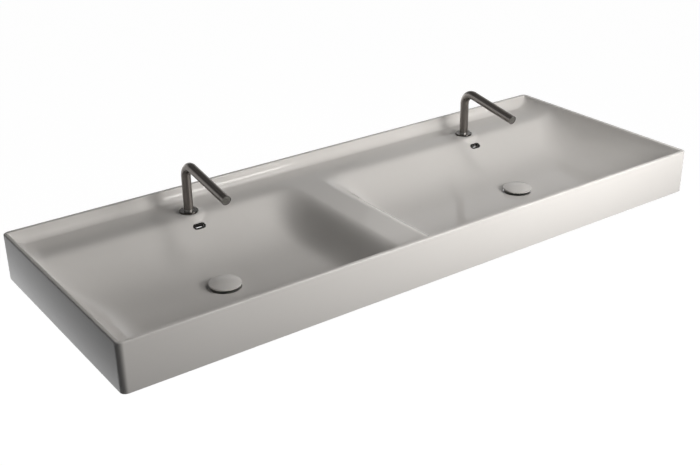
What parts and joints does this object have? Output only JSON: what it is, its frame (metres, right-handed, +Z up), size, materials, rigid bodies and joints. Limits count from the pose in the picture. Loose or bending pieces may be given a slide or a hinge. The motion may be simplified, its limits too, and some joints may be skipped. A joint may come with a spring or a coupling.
{
  "type": "trough washbasin",
  "caption": "Long wall-hung ceramic trough washbasin with curved bowls parted by a low divider, a rear tap ledge, swivelling bent-tube spouts and press-to-close drain covers.",
  "frame": {"origin": "on the wall plane (the flat back of the basin), midway between the wall bolts", "axes": "+X to the right as seen from the front, +Y towards the wall, +Z up"},
  "size_m": [1.4, 0.525, 0.3163],
  "materials": {
    "basin_glaze": "gloss glaze",
    "cover_glaze": "gloss glaze",
    "spout_steel": "fine brushed",
    "tap_core": "turned",
    "ring_metal": "polished",
    "waste_metal": "polished",
    "spring_wire": "drawn wire",
    "black_rubber": "matte",
    "white_plastic": "matte",
    "dark_plastic": "matte",
    "washer_steel": "pressed sheet",
    "nut_brass": "machined"
  },
  "bodies": {
    "washbasin": {"basin": "basin_glaze", "left_overflow_ring": "ring_metal", "right_overflow_ring": "ring_metal", "left_click_sleeve": "waste_metal", "right_click_sleeve": "waste_metal", "left_waste_body": "waste_metal", "right_waste_body": "waste_metal", "left_flange_gasket": "white_plastic", "right_flange_gasket": "white_plastic", "left_lower_washer": "black_rubber", "right_lower_washer": "black_rubber", "left_friction_ring": "white_plastic", "right_friction_ring": "white_plastic", "left_locknut": "dark_plastic", "right_locknut": "dark_plastic", "left_tail_seal": "black_rubber", "right_tail_seal": "black_rubber", "left_tailpiece": "waste_metal", "right_tailpiece": "waste_metal", "left_tap_flange": "spout_steel", "right_tap_flange": "spout_steel", "left_tap_body": "tap_core", "right_tap_body": "tap_core", "left_swivel_seals": "black_rubber", "right_swivel_seals": "black_rubber", "left_tap_gasket": "black_rubber", "right_tap_gasket": "black_rubber", "left_centring_bush": "white_plastic", "right_centring_bush": "white_plastic", "left_under_washer": "black_rubber", "right_under_washer": "black_rubber", "left_backing_washer": "washer_steel", "right_backing_washer": "washer_steel", "left_tap_nut": "nut_brass", "right_tap_nut": "nut_brass"},
    "left_plug": {"left_drain_cover": "cover_glaze", "left_cover_carrier": "dark_plastic", "left_cover_seal": "black_rubber", "left_plunger": "waste_metal", "left_click_spring": "spring_wire"},
    "left_spout_arm": {"left_spout": "spout_steel", "left_outlet_collar": "spout_steel", "left_aerator": "dark_plastic"},
    "right_plug": {"right_drain_cover": "cover_glaze", "right_cover_carrier": "dark_plastic", "right_cover_seal": "black_rubber", "right_plunger": "waste_metal", "right_click_spring": "spring_wire"},
    "right_spout_arm": {"right_spout": "spout_steel", "right_outlet_collar": "spout_steel", "right_aerator": "dark_plastic"}
  },
  "joints": [
    {"name": "left_cover_press", "type": "slide", "parent": "washbasin", "child": "left_plug", "axis": [0, 0, 1], "range_m": [-0.0049, 0], "deforming": ["left_click_spring"]},
    {"name": "left_spout_swivel", "type": "hinge", "parent": "washbasin", "child": "left_spout_arm", "pos_m": [-0.3345, -0.081, 0.05], "axis": [0, 0, 1], "range_deg": [-60, 60]},
    {"name": "right_cover_press", "type": "slide", "parent": "washbasin", "child": "right_plug", "axis": [0, 0, 1], "range_m": [-0.0049, 0], "deforming": ["right_click_spring"]},
    {"name": "right_spout_swivel", "type": "hinge", "parent": "washbasin", "child": "right_spout_arm", "pos_m": [0.4205, -0.081, 0.05], "axis": [0, 0, 1], "range_deg": [-60, 60]}
  ]
}
